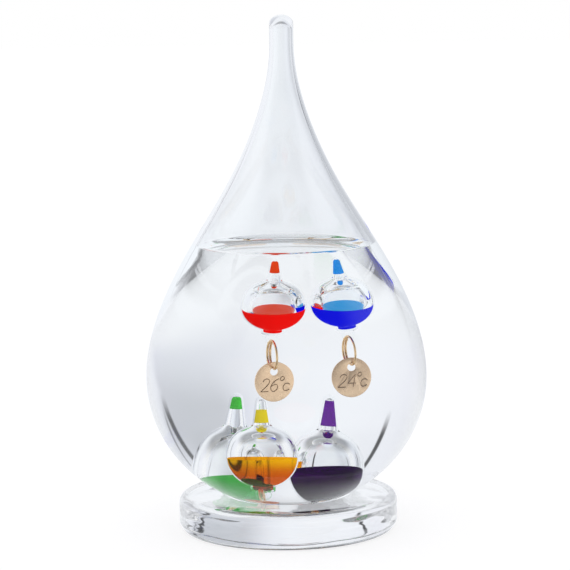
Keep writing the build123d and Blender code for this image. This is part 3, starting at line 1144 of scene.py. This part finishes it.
# %% Studio tones
def tone_ramp(group, value, low, high, stops):
    """Colours along a value, as (place, red, green, blue)."""
    place = group.nodes.new("ShaderNodeMapRange")
    group.links.new(value, place.inputs["Value"])
    place.inputs["From Min"].default_value = low
    place.inputs["From Max"].default_value = high
    ramp = group.nodes.new("ShaderNodeValToRGB")
    group.links.new(place.outputs["Result"], ramp.inputs["Fac"])
    for _ in stops[2:]:
        ramp.color_ramp.elements.new(0.5)
    for element, (spot, *colour) in zip(ramp.color_ramp.elements, stops):
        element.position = (spot - low) / (high - low)
        element.color = (*colour, 1)
    return ramp.outputs["Color"]


# Headings are degrees clockwise from straight behind the object, seen from above.
SWEEP = [
    (-180, 0.40, 0.40, 0.42), (-150, 0.34, 0.34, 0.36), (-118, 0.95, 0.96, 1.0),
    (-70, 0.99, 0.99, 1.0), (-45, 0.90, 0.91, 0.97), (-12, 0.93, 0.95, 0.99),
    (0, 0.92, 0.94, 0.98), (9, 0.82, 0.84, 0.90), (30, 0.79, 0.82, 0.88),
    (48, 0.80, 0.82, 0.90), (66, 0.93, 0.94, 0.97), (110, 0.95, 0.95, 0.96),
    (134, 0.92, 0.92, 0.94), (152, 0.60, 0.60, 0.62), (180, 0.40, 0.40, 0.42),
]
# The table is white further out, and dark where the room shades it close in front.
TABLE = (0.92, 0.94, 0.97)
TABLE_EDGE = (-12, -19)
# Each card: heading at its foot, how that moves per degree up, half its width,
# the elevation of its foot and its top, and how much light it takes away.
CARDS = [
    (48.2, -0.40, 2.2, 4, 36, 0.90),
    (49.8, -0.10, 1.0, 8, 36, 0.60),
    (-34.0, 0.17, 1.3, 8, 36, 0.92),
]


# Softly bounded regions that are darker: how much light each takes away, and the
# steps that bound it. A step measures the heading, how far that is turned from
# straight behind, or the height, all in degrees, and goes from nothing to full.
REGIONS = [
    (0.26, [("heading", 6, 18), ("heading", 56, 46), ("height", -22, 2), ("height", 40, 12)]),
    (0.78, [("turned", 100, 128), ("height", 6, 24)]),
    (0.78, [("turned", 92, 122), ("height", -26, -36), ("height", -66, -56)]),
    (0.55, [("height", 38, 62)]),
]


def dim(group, light, loss, steps):
    """Take a share of the light away where all the soft steps are passed."""
    mask = 1.0
    for measure, start, end in steps:
        mask = wire_math(group, "MULTIPLY", mask, soft_step(group, measure, start, end))
    return wire_math(group, "MULTIPLY", light, wire_math(group, "MULTIPLY_ADD", mask, -loss, 1.0))


def studio_tones():
    """What the studio looks like from the object, in each direction."""
    group, given, result = new_group(
        "studio tones",
        [("Direction", "NodeSocketVector", (0, 1, 0))],
        [("Color", "NodeSocketColor")],
    )
    unit = group.nodes.new("ShaderNodeVectorMath")
    unit.operation = "NORMALIZE"
    feed(group, given["Direction"], unit.inputs[0])
    split = group.nodes.new("ShaderNodeSeparateXYZ")
    feed(group, unit.outputs["Vector"], split.inputs["Vector"])
    x, y, z = (split.outputs[axis] for axis in "XYZ")
    heading = wire_math(group, "DEGREES", wire_math(group, "ARCTAN2", x, y))
    height = wire_math(group, "DEGREES", wire_math(group, "ARCSINE", z))
    turned = wire_math(group, "ABSOLUTE", heading)
    measures = {"heading": heading, "height": height, "turned": turned}
    light = 1.0
    for loss, steps in REGIONS:
        steps = [(measures[name], start, end) for name, start, end in steps]
        light = dim(group, light, loss, steps)
    for foot, slant, half, low, high, loss in CARDS:
        off = wire_math(group, "MULTIPLY_ADD", height, -slant, heading)
        off = wire_math(group, "ABSOLUTE", wire_math(group, "SUBTRACT", off, foot))
        edges = [
            (off, half * 1.5, half * 0.5), (height, low - 4, low + 6), (height, high + 5, high - 5)
        ]
        light = dim(group, light, loss, edges)
    sweep = tone_ramp(group, heading, -180, 180, SWEEP)
    tone = mix_colours(group, soft_step(group, height, *TABLE_EDGE), sweep, (*TABLE, 1))
    scale = group.nodes.new("ShaderNodeVectorMath")
    scale.operation = "SCALE"
    feed(group, tone, scale.inputs[0])
    feed(group, light, scale.inputs["Scale"])
    feed(group, scale.outputs["Vector"], result["Color"])
    return group


STUDIO = studio_tones()
EYE_LEVEL = 70 * MM
print("studio:", len(REGIONS), "dim regions and", len(CARDS), "cards")


def bent_or_mirrored(tree):
    """1 for light that reached here by way of glass or metal, and else 0."""
    path = tree.nodes.new("ShaderNodeLightPath").outputs
    return wire_math(tree, "MAXIMUM", path["Is Glossy Ray"], path["Is Transmission Ray"])


def mix_shaders(tree, factor, first, second):
    """A shader on the way from the first to the second."""
    mix = tree.nodes.new("ShaderNodeMixShader")
    for socket, value in zip(mix.inputs, (factor, first, second)):
        feed(tree, value, socket)
    return mix.outputs["Shader"]


# %% Floor
FLOOR_REACH = 12
FLOOR_DROP = 0.05 * MM

floor_mesh = bpy.data.meshes.new("floor")
floor_bm = bmesh.new()
bmesh.ops.create_grid(floor_bm, x_segments=4, y_segments=4, size=FLOOR_REACH)
floor_bm.to_mesh(floor_mesh)
floor_bm.free()
floor = bpy.data.objects.new("floor", floor_mesh)
floor.location.z = -FLOOR_DROP
bpy.context.scene.collection.objects.link(floor)
floor_material, tree, shader = new_material(
    "floor",
    {
        "Base Color": (0.25, 0.25, 0.26, 1), "Roughness": 0.9, "Specular IOR Level": 0.0,
        "Emission Color": (1, 1, 1, 1), "Emission Strength": 0.80,
    },
)
floor_mesh.materials.append(floor_material)
from_eye = tree.nodes.new("ShaderNodeVectorMath")
from_eye.operation = "SUBTRACT"
feed(tree, tree.nodes.new("ShaderNodeTexCoord").outputs["Object"], from_eye.inputs[0])
feed(tree, (0, 0, EYE_LEVEL), from_eye.inputs[1])
tones = place_group(tree, STUDIO, {})
feed(tree, from_eye.outputs["Vector"], tones.inputs["Direction"])
through = tree.nodes.new("ShaderNodeEmission")
feed(tree, tones.outputs["Color"], through.inputs["Color"])
both = mix_shaders(
    tree, bent_or_mirrored(tree), shader.outputs["BSDF"], through.outputs["Emission"]
)
feed(tree, both, tree.nodes["Material Output"].inputs["Surface"])
print("the floor reaches", FLOOR_REACH, "m each way")

# %% World
ROOM_LIGHT = (0.93, 0.93, 0.94, 1)

world = bpy.data.worlds.new("studio")
bpy.context.scene.world = world
world.use_nodes = True
tree = world.node_tree
tree.nodes.clear()


def background(tree, colour):
    """The world in one colour, or in the colour of a node's output."""
    node = tree.nodes.new("ShaderNodeBackground")
    feed(tree, colour, node.inputs["Color"])
    return node.outputs["Background"]


tones = place_group(tree, STUDIO, {})
way = tree.nodes.new("ShaderNodeTexCoord")
feed(tree, way.outputs["Generated"], tones.inputs["Direction"])
room = background(tree, ROOM_LIGHT)
studio = background(tree, tones.outputs["Color"])
lit = mix_shaders(tree, bent_or_mirrored(tree), room, studio)
straight = tree.nodes.new("ShaderNodeLightPath").outputs["Is Camera Ray"]
seen = mix_shaders(tree, straight, lit, background(tree, (1, 1, 1, 1)))
feed(tree, seen, tree.nodes.new("ShaderNodeOutputWorld").inputs["Surface"])
print("world:", world.name)

# %% [markdown]
# ## Light paths
# Each surface that light meets is a bounce. Light that is mirrored back and forth
# inside the liquid, near its rim, meets dozens of them before it gets out, and the
# rim turns black if it is cut short.

# %% Light paths
CLEAR_BOUNCES = 32
scene = bpy.context.scene
scene.view_settings.view_transform = "Standard"
scene.cycles.max_bounces = MOST_BOUNCES
scene.cycles.transmission_bounces = MOST_BOUNCES
scene.cycles.glossy_bounces = MOST_BOUNCES
scene.cycles.transparent_max_bounces = CLEAR_BOUNCES
